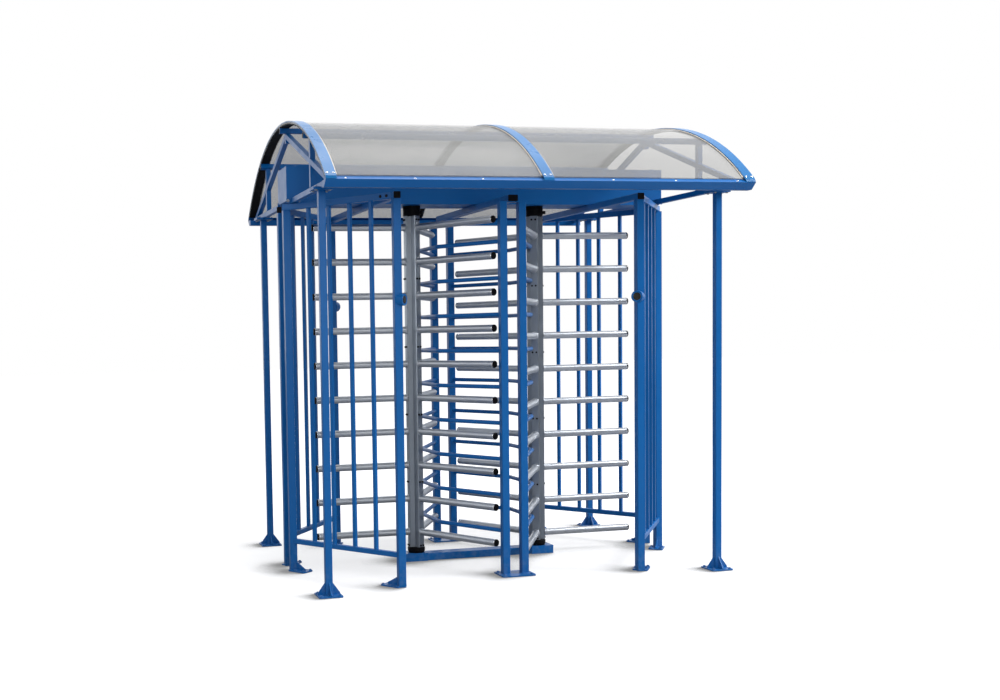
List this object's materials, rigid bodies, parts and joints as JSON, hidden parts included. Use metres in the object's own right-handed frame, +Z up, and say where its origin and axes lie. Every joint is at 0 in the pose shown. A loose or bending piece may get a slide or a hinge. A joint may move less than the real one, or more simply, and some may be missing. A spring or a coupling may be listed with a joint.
{
  "type": "full-height double turnstile with canopy",
  "caption": "Full-height double turnstile: two three-row rotors with comb barriers and barred cages under a barrel-vaulted canopy on four posts.",
  "frame": {"origin": "on the floor, midway between the two rotor axes, at the centre of the object's base", "axes": "+X runs along the row of rotors, +Y from the entry side to the exit side, +Z up"},
  "size_m": [2.5442, 2.3, 2.7332],
  "materials": {
    "blue_powder_coat": "satin blue powder coat on steel",
    "rotor_steel": "satin galvanised steel tube",
    "black_plastic": "matt black moulded plastic",
    "gasket_rubber": "matt black sealing rubber",
    "roof_sheet": "smoked clear polycarbonate sheet"
  },
  "bodies": {
    "frame": {"floor_beam": "blue_powder_coat", "bottom_bearings": "black_plastic", "top_bearings": "black_plastic", "front_middle_posts": "blue_powder_coat", "back_middle_posts": "blue_powder_coat", "left_comb": "blue_powder_coat", "right_comb": "blue_powder_coat", "front_left_post": "blue_powder_coat", "back_left_post": "blue_powder_coat", "front_right_post": "blue_powder_coat", "back_right_post": "blue_powder_coat", "left_side_posts": "blue_powder_coat", "right_side_posts": "blue_powder_coat", "front_left_panel": "blue_powder_coat", "back_left_panel": "blue_powder_coat", "front_right_panel": "blue_powder_coat", "back_right_panel": "blue_powder_coat", "cross_beams": "blue_powder_coat", "beam_end_caps": "black_plastic", "drive_housing": "blue_powder_coat", "housing_lid": "blue_powder_coat", "display_stubs": "blue_powder_coat", "display_faces": "black_plastic", "canopy_post_front_left": "blue_powder_coat", "canopy_post_back_left": "blue_powder_coat", "canopy_post_front_right": "blue_powder_coat", "canopy_post_back_right": "blue_powder_coat", "left_truss": "blue_powder_coat", "right_truss": "blue_powder_coat", "roof_purlins": "blue_powder_coat", "front_gutter": "blue_powder_coat", "back_gutter": "blue_powder_coat", "left_arch": "blue_powder_coat", "middle_arch": "blue_powder_coat", "right_arch": "blue_powder_coat", "arch_gaskets": "gasket_rubber", "left_roof_sheet": "roof_sheet", "right_roof_sheet": "roof_sheet"},
    "left_rotor": {"left_rotor_column": "rotor_steel", "left_rotor_arms": "rotor_steel", "left_rotor_caps": "black_plastic"},
    "right_rotor": {"right_rotor_column": "rotor_steel", "right_rotor_arms": "rotor_steel", "right_rotor_caps": "black_plastic"}
  },
  "joints": [
    {"name": "left_rotor_turn", "type": "hinge", "parent": "frame", "child": "left_rotor", "pos_m": [-0.413, 0, 1.1], "axis": [0, 0, 1], "continuous": true},
    {"name": "right_rotor_turn", "type": "hinge", "parent": "frame", "child": "right_rotor", "pos_m": [0.413, 0, 1.1], "axis": [0, 0, 1], "continuous": true}
  ]
}
